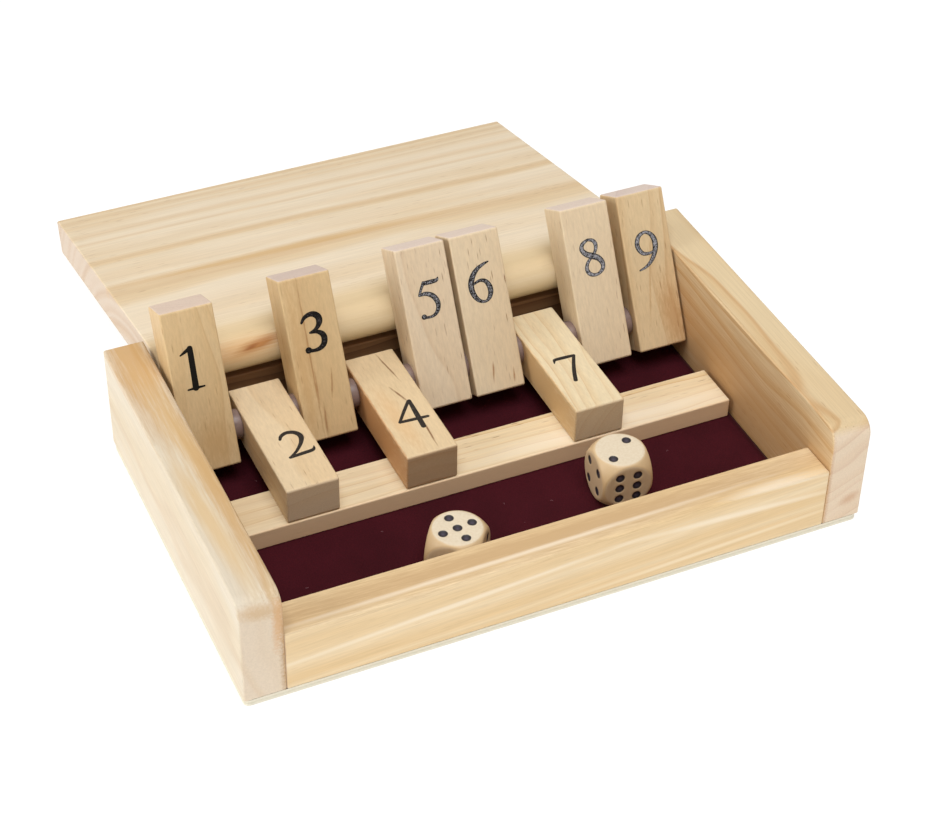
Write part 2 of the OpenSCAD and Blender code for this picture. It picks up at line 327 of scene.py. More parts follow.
    skin = add(tree, "ShaderNodeBsdfPrincipled", {
        "Base Color": tone, "Roughness": dull, "IOR": 1.5, "Specular IOR Level": 0.35,
        "Normal": grainy})
    add(tree, "ShaderNodeOutputMaterial", {"Surface": skin})
    return material


sanded("left_wall", edge_break, "box", pine(
    "pine_left_wall", along_y, (-38, 46), 6.0, "#DBD2C1", "#D4C2A2", "#C9AF8B", "#DCCBB8",
    flecks=0.15, contrast=0.9, peak=0.7, fine=(0.09, 1.6), seed=1, marks=[
        ((-78, 50, 32.6), (8, 42, 3), (0, 0, radians(-4)), "#C69C62", 0.8),
        ((-76, 4, 32.6), (3.6, 46, 3), (0, 0, radians(5)), "#CFAE7C", 0.75),
        ((-80, -22, 32.6), (3.0, 30, 3), (0, 0, radians(3)), "#D6BA8C", 0.7),
        # painted shade: the whole inner face darkened, for the shade inside the box
        ((-73.2, 0, 14), (1.6, 110, 30), (0, 0, 0), "#AC8757", 0.9),
        ((-75.2, -15, 32.6), (2.2, 50, 3), (0, 0, radians(-0.5)), "#C5A271", 0.75),
        ((-78.5, -51.6, 29.2), (7.0, 2.0, 2.6), (0, radians(8), 0), "#C9AC84", 0.65),
        ((-74.6, -51.8, 25), (1.6, 2.0, 11), (0, radians(3), 0), "#D2A97C", 0.75)]),
    holes=(rod_hole, pin_hole))
sanded("right_wall", edge_break, "box", pine(
    "pine_right_wall", along_y, (-64, 66), 5.0, "#DFCCA8", "#D4B586", "#C1935C", "#E2D3C8",
    flecks=0.5, contrast=0.9, seed=2, marks=[
        # painted shade: the whole inner face darkened, for the shade inside the box
        ((73.2, 0, 12), (1.2, 110, 26), (0, 0, 0), "#B58450", 0.65),
        ((80.4, -51.8, 8.4), (3.6, 1.5, 2.0), (0, radians(-20), 0), "#C9A282", 0.6)]),
    holes=(rod_hole, pin_hole))
sanded("front_rail", edge_break, "box", pine(
    "pine_front_rail", (0, radians(3.0), radians(1.2)), (-28, 44), 6.5, "#E3C89B", "#E9D4AF", "#EDDCBD",
    "#DDCBC0", flecks=0.12, contrast=0.8, peak=0.62, sway=4.0, seed=3, marks=[
        ((0, -46.0, 19.8), (130, 5.6, 2.4), (0, 0, radians(0.5)), "#C4A47A", 0.8),
        ((-15, -48.4, 19.8), (75, 0.9, 1.2), (0, 0, radians(1.0)), "#F0E2CB", 0.8),
        ((56, -51.2, 19.9), (26, 2.6, 0.9), (0, radians(2.5), 0), "#F0E2CB", 0.8),
        ((-30, -51.8, 12.9), (62, 1.5, 0.95), (0, radians(-4.0), 0), "#F4E8D2", 0.8),
        ((46, -51.8, 14.7), (38, 1.5, 1.1), (0, radians(3.0), 0), "#F4E8D2", 0.8),
        ((40, -51.8, 5.4), (48, 1.5, 0.8), (0, radians(-2.8), 0), "#F1E2C6", 0.7)]))
# Painted shade: the back rail's colours are far darker and browner than the other boards', for the shade it
# lies in under the lid.
sanded("back_rail", edge_break, "box", pine(
    "pine_back_rail_painted_shade", along_x, (60, -30), 4.5, "#A9805A", "#845A3A", "#5F3D26", "#A98E7C",
    flecks=0.5, contrast=1.0, seed=4))


# ---------------------------------------------------------------- the felt
# Needled wool felt, 0.8 mm thick and dyed maroon, cut a little under size and glued to the base.
# Its nap is short and dense, so it is nearly black where it lies in the tiles' shade.
felt_size = (145.0, 85.0)  # mm
felt_back_y, felt_top = 44.75, 2.8  # mm
felt_thick = 0.8  # mm
felt_dye, felt_sheen = "#3F0E18", "#70262F"
nap = 0.06  # mm, how uneven the nap is

wool, tree = finish_tree("wool_felt")
in_mm = object_in_mm(tree)
# matted fibres about 0.3 mm across, and lighter and darker clouds about 12 mm across
matted = add(tree, "ShaderNodeTexNoise", {"Vector": in_mm, "Scale": 2.6, "Detail": 6, "Roughness": 0.7})
clouds = add(tree, "ShaderNodeTexNoise", {"Vector": in_mm, "Scale": 0.08, "Detail": 3})
depth = add(tree, "ShaderNodeMapRange", {"Value": matted, "From Min": 0.3, "From Max": 0.7,
                                         "To Min": 0.72, "To Max": 1.22})
cloud = add(tree, "ShaderNodeMapRange", {"Value": clouds, "From Min": 0.35, "From Max": 0.65,
                                         "To Min": 0.90, "To Max": 1.12})
both = add(tree, "ShaderNodeMath", {0: depth, 1: cloud}, operation="MULTIPLY")
dyed = add(tree, "ShaderNodeVectorMath", {0: colour(felt_dye)[:3], "Scale": both}, operation="SCALE")
fuzzy = add(tree, "ShaderNodeBump", {"Height": matted, "Strength": 0.6, "Distance": 0.25 * mm})
skin = add(tree, "ShaderNodeBsdfPrincipled", {
    "Base Color": dyed, "Roughness": 0.95, "Specular IOR Level": 0.15, "Sheen Weight": 0.05,
    "Sheen Roughness": 0.5, "Sheen Tint": felt_sheen, "Normal": fuzzy})
add(tree, "ShaderNodeOutputMaterial", {"Surface": skin})

felt_mesh = bpy.data.meshes.new("felt")
shape = bmesh.new()
bmesh.ops.create_grid(shape, x_segments=96, y_segments=56, size=0.5)
bmesh.ops.transform(shape, verts=shape.verts,
                    matrix=Matrix.Diagonal((felt_size[0] * mm, felt_size[1] * mm, 1, 1)))
top_verts = list(shape.verts)
rim = [edge for edge in shape.edges if edge.is_boundary]
low = bmesh.ops.extrude_edge_only(shape, edges=rim)["geom"]
for vert in low:
    if isinstance(vert, bmesh.types.BMVert):
        vert.co.z -= felt_thick * mm
bmesh.ops.holes_fill(shape, edges=[edge for edge in shape.edges if edge.is_boundary])
for vert in top_verts:
    place = vert.co / mm
    # from 0 to 1, in waves of about 10 by 13 mm
    dip = 0.5 + 0.5 * sin(place.x * 0.61 + 2 * sin(place.y * 0.23)) * cos(place.y * 0.47)
    vert.co.z -= nap * mm * dip
bmesh.ops.translate(shape, vec=(0, (felt_back_y - felt_size[1] / 2) * mm, felt_top * mm), verts=shape.verts)
bmesh.ops.recalc_face_normals(shape, faces=shape.faces)
for face in shape.faces:
    face.smooth = face.normal.z > 0.5
shape.to_mesh(felt_mesh)
shape.free()
felt_mesh.materials.append(wool)
felt = placed("felt_cloth", felt_mesh)
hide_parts("felt_sheet")
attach(felt, "box")


# ---------------------------------------------------------------- the rest rail
# A low pine batten, glued on the felt, that the flipped tiles come down on.
# Its front face is rough from the saw.
rest_ease = 0.35  # mm
sanded("rest_rail", rest_ease, "box", pine(
    "pine_rest_rail", (0, radians(-0.8), radians(0.6)), (70, 30), 3.4, "#EBD9B8", "#DFC495", "#C79C66",
    "#D3BFAE", flecks=0.9, contrast=0.9, seed=5, marks=[
        ((0, -4.65, 4.5), (300, 0.6, 9), (0, 0, 0), "#F3D2AC", 0.75),
        ((-68, 2, 8.5), (14, 8, 3), (0, 0, 0), "#D9BE94", 0.6),
        ((40, -1, 8.6), (46, 4, 1.5), (0, 0, 0), "#F6EBD8", 0.6)]))


# ---------------------------------------------------------------- the rod
# A birch dowel, 4 mm thick, pressed into blind holes in the two walls.
# Its surface is fine and even, with short fibres along it.
birch, tree = finish_tree("birch_dowel")
where = add(tree, "ShaderNodeTexCoord")
thin = add(tree, "ShaderNodeMapping", {"Vector": where.outputs["Object"], "Scale": (60, 1600, 1600)})
fibre = add(tree, "ShaderNodeTexNoise", {"Vector": thin, "Scale": 1.0, "Detail": 4})
tone = add(tree, "ShaderNodeMix", {0: fibre, 6: "#D9C39C", 7: "#BFA173"}, data_type="RGBA")
skin = add(tree, "ShaderNodeBsdfPrincipled", {"Base Color": tone, "Roughness": 0.6, "IOR": 1.5})
add(tree, "ShaderNodeOutputMaterial", {"Surface": skin})
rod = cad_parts["tile_rod"]
rod.data.materials.clear()
rod.data.materials.append(birch)


# ---------------------------------------------------------------- the spacers
# Eight moulded nylon washers with rounded rims, loose on the rod between the tiles.
# Each stays in the middle of its gap, and the tiles slide a little from side to side against it.
spacer = {"Outside": 9.4, "Bore": 4.1, "Thickness": 1.2, "Rim": 0.4}  # mm; Rim is the radius of its edges
spacer_at = [-56.51, -40.26, -24.01, -7.55, 8.23, 24.14, 40.43, 57.10]  # mm along the rod


def grown(name, start, group, sizes):
    """An object with the plain mesh that a node group makes from a start mesh, its inputs set by name."""
    piece = placed(name, start)
    modifier = piece.modifiers.new("maker", "NODES")
    modifier.node_group = group
    for item in group.interface.items_tree:
        if item.in_out == "INPUT" and item.name in sizes:
            modifier[item.identifier] = sizes[item.name]
    ready = piece.evaluated_get(bpy.context.evaluated_depsgraph_get())
    mesh = bpy.data.meshes.new_from_object(ready)
    piece.modifiers.clear()
    piece.data = mesh
    return piece


def node_group(name, sizes):
    """A node group that turns one geometry and these sizes into one geometry, and its input node."""
    group = bpy.data.node_groups.new(name, "GeometryNodeTree")
    group.interface.new_socket("Geometry", in_out="INPUT", socket_type="NodeSocketGeometry")
    for size, value in sizes.items():
        kind = "NodeSocketInt" if isinstance(value, int) else "NodeSocketFloat"
        group.interface.new_socket(size, in_out="INPUT", socket_type=kind)
    group.interface.new_socket("Geometry", in_out="OUTPUT", socket_type="NodeSocketGeometry")
    return group, add(group, "NodeGroupInput")


# Moulded nylon: a little cloudy, with a soft gloss
nylon, tree = finish_tree("moulded_nylon")
where = add(tree, "ShaderNodeTexCoord")
cloudy = add(tree, "ShaderNodeTexNoise", {"Vector": where.outputs["Object"], "Scale": 400.0, "Detail": 3})
tone = add(tree, "ShaderNodeMix", {0: cloudy, 6: "#98847D", 7: "#735E5A"}, data_type="RGBA")
skin = add(tree, "ShaderNodeBsdfPrincipled", {"Base Color": tone, "Roughness": 0.38, "IOR": 1.53})
add(tree, "ShaderNodeOutputMaterial", {"Surface": skin})

washers, sizes = node_group("washers_on_a_rod", spacer)
both = add(washers, "ShaderNodeMath", {0: sizes.outputs["Outside"], 1: sizes.outputs["Bore"]}, operation="ADD")
middle = add(washers, "ShaderNodeMath", {0: both, 1: 0.25}, operation="MULTIPLY")
ring = add(washers, "GeometryNodeCurvePrimitiveCircle", {"Resolution": 48, "Radius": middle})
wide = add(washers, "ShaderNodeMath", {0: sizes.outputs["Outside"], 1: sizes.outputs["Bore"]},
           operation="SUBTRACT")
width = add(washers, "ShaderNodeMath", {0: wide, 1: 0.5}, operation="MULTIPLY")
section = add(washers, "GeometryNodeCurvePrimitiveQuadrilateral",
              {"Width": sizes.outputs["Thickness"], "Height": width})
eased = add(washers, "GeometryNodeFilletCurve", {"Curve": section, "Radius": sizes.outputs["Rim"],
                                                 "Count": 4}, mode="POLY")
washer = add(washers, "GeometryNodeCurveToMesh", {"Curve": ring, "Profile Curve": eased})
places = add(washers, "GeometryNodeMeshToPoints", {"Mesh": sizes.outputs["Geometry"]})
each = add(washers, "GeometryNodeInstanceOnPoints", {
    "Points": places, "Instance": washer, "Rotation": (0, radians(90), 0)})
solid = add(washers, "GeometryNodeRealizeInstances", {"Geometry": each})
made = add(washers, "GeometryNodeSetMaterial", {"Geometry": solid, "Material": nylon})
add(washers, "NodeGroupOutput", {"Geometry": made})

rod_marks = bpy.data.meshes.new("rod_marks")
rod_marks.from_pydata([(x * mm, rod_line[0] * mm, rod_line[1] * mm) for x in spacer_at], [], [])
spacers = grown("spacer_washers", rod_marks, washers, {size: value * mm for size, value in spacer.items()})
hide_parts("tile_spacers")
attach(spacers, "box")


# ---------------------------------------------------------------- lint on the felt
# A few loose pale fibres, 0.3 to 0.9 mm long, that the felt has picked up.
# They lie flat on the nap, in the tray and in the bay behind the rest rail.
lint = {"Radius": 0.04 * mm, "Per square metre": 2200.0, "Seed": 7}
lint_beds = [(-72.0, -40.0, 72.0, -5.5), (-72.0, 10.5, 72.0, 44.0)]  # mm: x, y of two corners

# Cotton dust: matt, and pinkish where the felt shows through it
cotton, tree = finish_tree("cotton_lint")
where = add(tree, "ShaderNodeTexCoord")
dusty = add(tree, "ShaderNodeTexNoise", {"Vector": where.outputs["Object"], "Scale": 900.0})
tone = add(tree, "ShaderNodeMix", {0: dusty, 6: "#7A525A", 7: "#A58890"}, data_type="RGBA")
skin = add(tree, "ShaderNodeBsdfPrincipled", {"Base Color": tone, "Roughness": 0.9})
add(tree, "ShaderNodeOutputMaterial", {"Surface": skin})

specks, sizes = node_group("lint_on_felt", lint)
places = add(specks, "GeometryNodeDistributePointsOnFaces", {
    "Mesh": sizes.outputs["Geometry"], "Density": sizes.outputs["Per square metre"],
    "Seed": sizes.outputs["Seed"]})
# one bent fibre 1 mm long, made shorter at each of its places
bend = add(specks, "GeometryNodeCurveQuadraticBezier", {
    "Resolution": 6, "Start": (-0.5 * mm, 0, 0), "Middle": (0.1 * mm, 0.55 * mm, 0.05 * mm),
    "End": (0.5 * mm, 0, 0)})
cross = add(specks, "GeometryNodeCurvePrimitiveCircle", {"Resolution": 5, "Radius": sizes.outputs["Radius"]})
hair = add(specks, "GeometryNodeCurveToMesh", {"Curve": bend, "Profile Curve": cross, "Fill Caps": True})
spin = add(specks, "FunctionNodeRandomValue", {
    "Min": (0, 0, 0), "Max": (0, 0, radians(360)), "Seed": sizes.outputs["Seed"]}, data_type="FLOAT_VECTOR")
long = add(specks, "FunctionNodeRandomValue", {
    "Min": (0.3, 0.3, 0.8), "Max": (0.9, 0.9, 1.2), "Seed": sizes.outputs["Seed"]}, data_type="FLOAT_VECTOR")
each = add(specks, "GeometryNodeInstanceOnPoints", {
    "Points": places, "Instance": hair, "Rotation": spin, "Scale": long})
solid = add(specks, "GeometryNodeRealizeInstances", {"Geometry": each})
made = add(specks, "GeometryNodeSetMaterial", {"Geometry": solid, "Material": cotton})
add(specks, "NodeGroupOutput", {"Geometry": made})

beds = bpy.data.meshes.new("lint_beds")
beds.from_pydata([(x * mm, y * mm, felt_top * mm) for x0, y0, x1, y1 in lint_beds
                  for x, y in ((x0, y0), (x1, y0), (x1, y1), (x0, y1))], [], [(0, 1, 2, 3), (4, 5, 6, 7)])
hairs = grown("felt_lint", beds, specks, lint)
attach(hairs, "box")


# ---------------------------------------------------------------- the number tiles
# Nine tiles sawn from one planed pine strip, drilled through near the lower end and sanded.
# The strip's grain runs up each tile, and its fresh end grain is lilac-grey.
tile_ease = 0.4  # mm
tile_width, tile_reach = 14.156, 35.3  # mm, and mm from the rod to the free end
front_out, back_out = 6.1, 4.5  # mm from the rod's middle to the front and back faces
tile_left = {1: -72.07, 2: -55.10, 3: -39.57, 4: -22.60, 5: -6.65, 6: 8.96, 7: 25.16, 8: 41.54, 9: 58.51}
tile_lean = {1: 21.73, 2: -90, 3: 25.73, 4: -90, 5: 27.73, 6: 27.73, 7: -90, 8: 27.73, 9: 27.73}  # degrees back
tile_woods = {
    # heart, ring, pale, tan, late, end, flecks, contrast
    # the end colours of tiles 2, 4 and 7, which lie flipped, are painted shade: browner, and darkest for 4, as
    # their free ends face the front inside the box's shade
    1: ((-24, 95), 4.0, "#DBC196", "#CFAE7C", "#B98F5C", "#D8CCD0", 0.4, 0.4),
    2: ((-60, 30), 5.0, "#E6D2B0", "#DEC298", "#CDA874", "#CDB59A", 0.4, 0.5),
    3: ((-36, 14), 6.0, "#D9BE92", "#CDAA78", "#B88D58", "#CCC4D0", 0.6, 0.4),
    4: ((-70, 10), 4.6, "#DFC8A2", "#D4B488", "#C09664", "#9E775A", 0.6, 0.5),
    5: ((-60, -28), 5.2, "#E3D1B6", "#DAC19E", "#C6A47C", "#D9CDD0", 1.0, 0.3),
    6: ((-50, -18), 4.4, "#E4D2B4", "#DBC09A", "#C8A374", "#D9CDD0", 1.0, 0.3),
    7: ((-8, -64), 2.7, "#E6D6B4", "#DDC49A", "#CFA978", "#D6BC9C", 0.3, 0.6),
    8: ((-70, -50), 4.2, "#E6D4B6", "#DDC4A0", "#C8A47A", "#D9CDD0", 0.5, 0.3),
    9: ((-30, -120), 5.0, "#DEC8A2", "#CFAE80", "#B88A58", "#DAD2DE", 0.7, 0.5),
}
tile_marks = {
    # across from the tile's middle, up from the rod, half sizes across and along, lean in degrees, colour,
    # strength
    1: [(1.0, -2.0, 6.0, 8.0, 0, "#C49D68", 0.5)],
    3: [(-2.2, 14.0, 0.28, 26.0, 0.3, "#A87A4A", 0.75), (2.2, 5.4, 0.30, 5.0, 9.5, "#A67648", 0.7),
        (-1.9, 5.5, 0.25, 5.6, 1.2, "#A67648", 0.7), (-1.2, -3.8, 0.4, 4.6, 2.8, "#996A40", 0.75),
        (-4.6, 14.0, 2.4, 30.0, 0, "#C9A06A", 0.45)],
    4: [(2.7, -1.6, 0.3, 7.0, 7.7, "#80583A", 0.9), (1.0, 10.4, 0.35, 4.2, 17.0, "#80583A", 0.9),
        (2.4, 28.0, 0.32, 6.4, -2.6, "#80583A", 0.9), (-3.0, 20.0, 3.0, 16.0, 3.0, "#DDB27E", 0.4)],
    6: [(-1.3, -3.0, 0.3, 3.2, 7.0, "#A3703F", 0.8), (4.4, -5.0, 0.3, 2.4, 4.0, "#A3703F", 0.8)],
    9: [(4.2, -1.0, 3.6, 13.0, -6.0, "#B98B56", 0.6), (-1.0, 10.0, 0.35, 12.0, 9.0, "#BA905E", 0.5)],
}
mark_deep = 2.5  # mm, how far a mark goes into its face
# painted shade: the left sides of these two lie in the shade of the next tiles, warmed by light bounced off
# them
shaded_sides = {4: "#C08F60", 7: "#CFAD7D"}
side_middle, side_shade_size, side_strength = (14.0, 0.8), (0.5, 12.0, 60.0), 0.95  # the sizes are in mm
sanded_fibres = (0.4, 2.0)  # per mm, along and across


def on_tile(n, x, up_tile, outward):
    """A point of tile n in mm, x across from its middle, and up and outwards from the rod's middle."""
    lean = radians(tile_lean[n])
    return (Vector((tile_left[n] + tile_width / 2 + x, *rod_line)) + Vector((0, sin(lean), cos(lean))) * up_tile
            + Vector((0, -cos(lean), sin(lean))) * outward)


for n, (heart, ring, pale, tan, late, end, flecks, contrast) in tile_woods.items():
    shown = front_out if tile_lean[n] > 0 else -back_out
    marks = []
    for x, up_tile, half_across, half_along, lean_by, tone, strength in tile_marks.get(n, []):
        spin = Matrix.Rotation(radians(-tile_lean[n]), 3, "X") @ Matrix.Rotation(radians(lean_by), 3, "Y")
        marks.append((on_tile(n, x, up_tile, shown), (half_across, mark_deep, half_along), spin.to_euler(),
                      tone, strength))
    if n in shaded_sides:
        marks.append((on_tile(n, -tile_width / 2, *side_middle), side_shade_size, (radians(-tile_lean[n]), 0, 0),
                      shaded_sides[n], side_strength))
    wood = pine(f"pine_tile_{n}", (radians(tile_lean[n]), radians(90), 0), heart, ring, pale, tan, late, end,
                flecks=flecks, contrast=contrast, fine=sanded_fibres, marks=marks, seed=6 + n)
    sanded(f"tile_{n}", tile_ease, f"tile_{n}", wood, holes=(rod_hole,))


# ---------------------------------------------------------------- the numbers
# Screen-printed in black on both faces of each tile, one reading upright when the tile stands
# and one when it is flipped; the ink sits on the wood, with pale flecks that are partly bare grain and partly
# painted sheen.
ink_thick = 0.03  # mm
ink_sunk = 0.10  # mm, how far the ink's solid runs into the wood
stroke_step = 0.003  # mm, from one stroke's top up to the next, so that no two share a plane
turned_at = 5  # mm above a figure's foot, the point that it is turned about
# Each figure is a set of pen strokes: x across, y above the foot and width of the pen, in mm
figures = {
    1: [[(0.15, 10.9, 1.35), (0.1, 8.0, 1.4), (0.0, 4.0, 1.4), (-0.1, 0.4, 1.5)],
        [(-2.6, 9.6, 0.35), (-1.2, 10.3, 0.75), (0.1, 11.0, 0.9)],
        [(-2.2, 0.25, 0.4), (0.0, 0.35, 0.6), (2.2, 0.35, 0.4)]],
    2: [[(-2.7, 8.0, 0.75), (-1.9, 9.1, 1.0), (-0.3, 9.75, 1.2), (1.5, 9.2, 1.35), (2.5, 7.8, 1.45),
         (2.5, 6.3, 1.4), (1.6, 4.6, 1.1), (0.2, 3.0, 0.9), (-1.4, 1.6, 0.8), (-3.2, 0.5, 0.8)],
        [(-3.3, 0.45, 0.9), (0.0, 0.5, 1.15), (2.6, 0.5, 1.15), (3.5, 0.9, 0.8), (3.9, 1.8, 0.3)]],
    3: [[(-2.8, 8.2, 0.6), (-1.9, 9.3, 0.9), (-0.5, 9.9, 1.1), (0.9, 9.75, 1.4), (1.9, 8.8, 1.6),
         (2.0, 7.6, 1.55), (1.4, 6.4, 1.1), (0.4, 5.6, 0.8), (-1.0, 5.15, 0.5)],
        [(-1.0, 5.15, 0.5), (0.9, 5.0, 0.9), (2.2, 4.1, 1.35), (2.55, 2.8, 1.5), (2.0, 1.3, 1.35),
         (0.6, 0.45, 1.0), (-1.0, 0.35, 0.8), (-2.2, 0.65, 1.1)],
        [(-2.3, 0.7, 1.5), (-2.2, 0.7, 1.5)]],
    4: [[(1.3, 11.2, 1.0), (1.3, 6.0, 1.35), (1.3, 0.2, 1.4)],
        [(1.0, 11.1, 0.9), (-1.4, 7.6, 0.9), (-3.8, 3.9, 0.8)],
        [(-3.9, 3.6, 1.0), (0.0, 3.6, 1.1), (3.7, 3.6, 0.9)]],
    5: [[(-0.6, 9.5, 1.1), (1.3, 9.5, 1.2), (3.0, 9.6, 1.0), (3.5, 10.2, 0.4)],
        [(-0.7, 9.7, 0.9), (-1.6, 8.2, 0.75), (-2.4, 6.6, 0.7)],
        [(-2.4, 6.6, 0.7), (-0.6, 6.7, 1.1), (1.2, 5.8, 1.4), (2.2, 4.2, 1.45), (2.3, 2.6, 1.3),
         (1.5, 1.1, 1.0), (0.2, 0.4, 0.75), (-1.6, 0.4, 0.7)],
        [(-2.2, 0.7, 1.4), (-2.1, 0.7, 1.4)]],
    6: [[(2.7, 10.7, 0.4), (1.2, 10.3, 0.8), (-0.7, 9.4, 1.15), (-2.2, 7.9, 1.5), (-3.1, 6.0, 1.65),
         (-3.2, 4.1, 1.6), (-2.6, 2.2, 1.4), (-1.4, 0.8, 1.0), (0.2, 0.35, 0.7), (1.4, 1.2, 1.2),
         (2.0, 2.6, 1.5), (1.9, 4.2, 1.5), (1.0, 5.7, 1.15), (-0.5, 6.2, 0.85), (-2.4, 5.6, 0.6)]],
    7: [[(-3.3, 8.8, 0.3), (-2.9, 9.8, 0.8), (-2.3, 10.2, 1.1), (0.5, 10.25, 1.2), (2.8, 10.25, 1.0)],
        [(3.0, 10.3, 0.9), (1.3, 6.5, 1.0), (0.1, 3.4, 1.1), (-0.9, 0.3, 1.15)]],
    8: [[(0.2, 10.3, 0.7), (-1.5, 9.7, 1.1), (-2.2, 8.3, 1.35), (-1.3, 6.7, 1.55), (0.3, 5.6, 1.7),
         (1.8, 4.4, 1.6), (2.5, 2.7, 1.4), (1.9, 1.1, 1.1), (0.0, 0.35, 0.85), (-1.8, 1.1, 1.15),
         (-2.4, 2.6, 1.2), (-1.7, 4.2, 0.95), (0.0, 5.5, 0.8), (1.4, 6.6, 0.9), (2.1, 8.2, 1.15),
         (1.6, 9.6, 1.0), (0.2, 10.3, 0.7)]],
    9: [[(2.0, 4.9, 0.5), (0.3, 4.4, 0.8), (-1.6, 4.7, 1.1), (-2.8, 6.2, 1.35), (-3.0, 8.0, 1.4),
         (-2.1, 9.7, 1.2), (-0.3, 10.4, 0.9), (1.3, 9.6, 1.2), (2.2, 8.0, 1.6), (2.3, 6.0, 1.65),
         (1.6, 3.9, 1.4), (0.3, 2.1, 1.1), (-1.4, 0.9, 0.8), (-3.4, 0.3, 0.45)]],
}
# Where each figure is printed: across and up from the foot's distance to the free end, in mm, and its turn
figure_places = {
    1: (-1.0, 21.4, 0), 2: (1.45, 11.85, 5), 3: (0.0, 20.3, 0), 4: (0.9, 10.15, -3), 5: (0.0, 19.7, 0),
    6: (0.0, 19.3, 0), 7: (-0.25, 11.55, -2), 8: (0.1, 19.8, 8), 9: (0.0, 21.7, 0)}
hidden_foot = {1: 20.5, -1: 11.0}  # mm, on the face turned away, for the front and the back
ink_spread = {1: 1.12, 3: 1.12}  # how much wider than the pen the ink ran
inks = {
    # the ink, the colour of its pale flecks, partly bare wood and partly painted sheen, and the share of such
    # flecks
    1: ("#0B0806", "#4A3024", 0.05), 2: ("#2C2826", "#8A7F78", 0.15), 3: ("#0C0908", "#6A6468", 0.30),
    4: ("#2C2826", "#8A7F78", 0.15), 5: ("#100E0F", "#9FA2AC", 0.60), 6: ("#100D0D", "#9FA2AC", 0.60),
    7: ("#282423", "#8A7F78", 0.12), 8: ("#1A181A", "#A6A9B4", 0.75), 9: ("#1A181A", "#A6A9B4", 0.75)}


def smooth_line(points, steps=8):
    """Points along a smooth curve through the given ones."""
    ends = [points[0], *points, points[-1]]
    line = []
    for a, b, c, d in zip(ends, ends[1:], ends[2:], ends[3:]):
        for k in range(steps):
            t = k / steps
            line.append([0.5 * (2 * q + (r - p) * t + (2 * p - 5 * q + 4 * r - s) * t * t
                                + (3 * q - p - 3 * r + s) * t ** 3) for p, q, r, s in zip(a, b, c, d)])
    return line + [list(points[-1])]


def pen_outline(points, spread):
    """A pen stroke with round ends, as its left side, its middle and its right side.
    Each point of the middle also says how far inside the stroke it is, from 0 to 1."""
    line = smooth_line(points)
    sides = ([], [], [])
    for i, (x, y, width) in enumerate(line):
        x0, y0, _ = line[max(i - 1, 0)]
        x1, y1, _ = line[min(i + 1, len(line) - 1)]
        way = Vector((x1 - x0, y1 - y0)).normalized() * width * spread / 2
        angles = [0]
        if i == 0:
            angles = [radians(-15 * k) for k in (5, 4, 3, 2, 1, 0)]
        if i == len(line) - 1:
            angles = [radians(15 * k) for k in (0, 1, 2, 3, 4, 5)]
        for angle in angles:
            ahead_by, aside = sin(angle), cos(angle)
            x_mid, y_mid = x + way.x * ahead_by, y + way.y * ahead_by
            sides[0].append((x_mid - way.y * aside, y_mid + way.x * aside, 0.0))
            sides[1].append((x_mid, y_mid, 1.0 - abs(ahead_by)))
            sides[2].append((x_mid + way.y * aside, y_mid - way.x * aside, 0.0))
    return sides


def printed(shape, strokes, put, spread):
    """Adds a figure's strokes to shape as thin solids; put turns (x, y, height) in mm into a place."""
    depth = shape.verts.layers.float["inside"]
    for number, points in enumerate(strokes):
        left, middle, right_side = pen_outline(points, spread)
        top = ink_thick + stroke_step * number
        rows = []
        for side, z in ((left, top), (middle, top), (right_side, top),
                        (right_side, -ink_sunk), (left, -ink_sunk)):
            row = [shape.verts.new(put(x, y, z)) for x, y, _ in side]
            for vert, (_, _, inside) in zip(row, side):
                vert[depth] = inside
            rows.append(row)
        for a, b in zip(rows, rows[1:] + rows[:1]):
            for k in range(len(a) - 1):
                shape.faces.new((a[k], b[k], b[k + 1], a[k + 1]))
        shape.faces.new([row[0] for row in rows])
        shape.faces.new([row[-1] for row in rows])


def black_ink(name, ink, wood_and_sheen, fleck_share):
    """Matt screen ink on raw wood: it keeps the fibres' relief, and away from its edges it has pale flecks,
    partly bare wood and partly painted sheen.
    """
    material, tree = finish_tree(name)
    in_mm = object_in_mm(tree)
    # patches about 0.3 mm across
    specks = add(tree, "ShaderNodeTexNoise", {"Vector": in_mm, "Scale": 2.4, "Detail": 3, "Roughness": 0.7})
    pale_flecks = add(tree, "ShaderNodeMapRange", {"Value": specks, "From Min": 0.62 - 0.3 * fleck_share,
                                              "From Max": 0.74 - 0.2 * fleck_share, "To Max": 0.35 + fleck_share})
    inside = add(tree, "ShaderNodeAttribute", attribute_name="inside")
    away = add(tree, "ShaderNodeMapRange", {"Value": inside.outputs["Fac"], "From Min": 0.15, "From Max": 0.55})
    # the pale flecks, in part painted sheen, kept away from the stroke's edges
    thin = add(tree, "ShaderNodeMath", {0: pale_flecks, 1: away}, operation="MULTIPLY")
    tone = add(tree, "ShaderNodeMix", {0: thin, 6: ink, 7: wood_and_sheen}, data_type="RGBA")
    relief = add(tree, "ShaderNodeBump", {"Height": specks, "Strength": 0.3, "Distance": 0.08 * mm})
    skin = add(tree, "ShaderNodeBsdfPrincipled", {
        "Base Color": tone, "Roughness": 0.5, "IOR": 1.5, "Specular IOR Level": 0.25,
        "Normal": relief})
    add(tree, "ShaderNodeOutputMaterial", {"Surface": skin})
    return material


